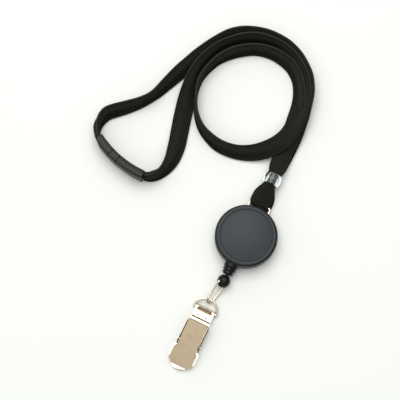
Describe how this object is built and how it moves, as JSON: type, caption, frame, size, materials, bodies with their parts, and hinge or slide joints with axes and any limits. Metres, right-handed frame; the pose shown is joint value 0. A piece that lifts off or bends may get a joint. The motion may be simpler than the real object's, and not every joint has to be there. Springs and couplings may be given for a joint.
{
  "type": "lanyard badge holder",
  "caption": "Flat neck strap with a breakaway clasp and a bead, carrying a round retractable cord reel with a ball end, wire link and sprung metal badge clip.",
  "frame": {"origin": "centre of the reel's flat rear face, on the surface that the object lies on", "axes": "+Z out of the reel's face, +Y from the reel to the bead and the neck loop, so the clip lies along -Y, and +X to the right seen from the front"},
  "size_m": [0.1121, 0.179, 0.011],
  "materials": {
    "case_front": "fine moulded satin",
    "case_rear": "fine moulded satin",
    "case_insert": "smooth satin",
    "screw_steel": "plated",
    "spring_steel": "bright spring steel",
    "black_plastic": "semi-gloss",
    "spool_plastic": "natural acetal",
    "cord": "fine braid",
    "nickel_wire": "polished nickel plate",
    "nickel_sheet": "polished nickel plate on pressed sheet",
    "strap": "flat knitted polyester tube",
    "clear_plastic": "clear moulded plastic",
    "clasp_plastic": "satin moulded"
  },
  "bodies": {
    "lanyard": {"strap_loop": "strap", "bead": "clear_plastic", "strap_left": "strap", "strap_right_outer": "strap", "strap_right_inner": "strap", "clasp_socket": "clasp_plastic", "clasp_collar": "clasp_plastic"},
    "clasp_end": {"clasp_plug": "clasp_plastic"},
    "ring": {"strap_ring": "nickel_wire"},
    "reel": {"front_cover": "case_front", "rear_cover": "case_rear", "face_insert": "case_insert", "case_screw": "screw_steel", "spiral_spring": "spring_steel", "cord_outlet": "black_plastic"},
    "spool": {"spool": "spool_plastic", "cord_winding": "cord"},
    "cord": {"cord_run": "cord"},
    "ball": {"ball_end": "black_plastic"},
    "link": {"wire_link": "nickel_wire"},
    "d_ring": {"d_ring": "nickel_wire"},
    "clip": {"clip_plate": "nickel_sheet", "clip_pin": "nickel_wire", "clip_spring": "spring_steel"},
    "lever": {"clip_lever": "nickel_sheet"}
  },
  "joints": [
    {"name": "clasp_release", "type": "slide", "parent": "lanyard", "child": "clasp_end", "axis": [0.9673, -0.2538, 0], "range_m": [0, 0.006], "deforming": ["strap_right_outer"]},
    {"name": "ring_swing", "type": "hinge", "parent": "lanyard", "child": "ring", "pos_m": [-0.0005, 0.0186, 0.0024], "axis": [1, 0, 0], "range_deg": [-50, 60]},
    {"name": "reel_swing", "type": "hinge", "parent": "ring", "child": "reel", "pos_m": [-0.0005, 0.0134, 0.0024], "axis": [1, 0, 0], "range_deg": [-20, 20]},
    {"name": "cord_pull", "type": "slide", "parent": "reel", "child": "cord", "axis": [0, -1, 0], "range_m": [0, 0.8], "stiffness_N_per_m": 0.6, "springref_m": -0.9},
    {"name": "spool_turn", "type": "hinge", "parent": "reel", "child": "spool", "pos_m": [0, 0, 0.004], "axis": [0, 0, 1], "range_deg": [0, 4800]},
    {"name": "ball_twist", "type": "hinge", "parent": "cord", "child": "ball", "pos_m": [-0.0004, -0.0254, 0.0046], "axis": [0, 1, 0], "range_deg": [-90, 90]},
    {"name": "link_swing", "type": "hinge", "parent": "ball", "child": "link", "pos_m": [-0.00055, -0.02618, 0.00447], "axis": [0.7165, -0.0153, -0.6974], "range_deg": [-50, 50]},
    {"name": "d_ring_swing", "type": "hinge", "parent": "link", "child": "d_ring", "pos_m": [-0.0025, -0.0365, 0.00272], "axis": [1, 0, 0], "range_deg": [-8, 30]},
    {"name": "clip_swing", "type": "hinge", "parent": "d_ring", "child": "clip", "pos_m": [-0.0025, -0.0425, 0.0016], "axis": [1, 0, 0], "range_deg": [-35, 35]},
    {"name": "lever_press", "type": "hinge", "parent": "clip", "child": "lever", "pos_m": [-0.0025, -0.0608, 0.003], "axis": [-1, 0, 0], "range_deg": [0, 22], "stiffness_Nm_per_rad": 0.03, "springref_deg": -28.65}
  ],
  "couplings": [
    {"joint": "spool_turn", "follows": "cord_pull", "rad_per_m": 104}
  ]
}
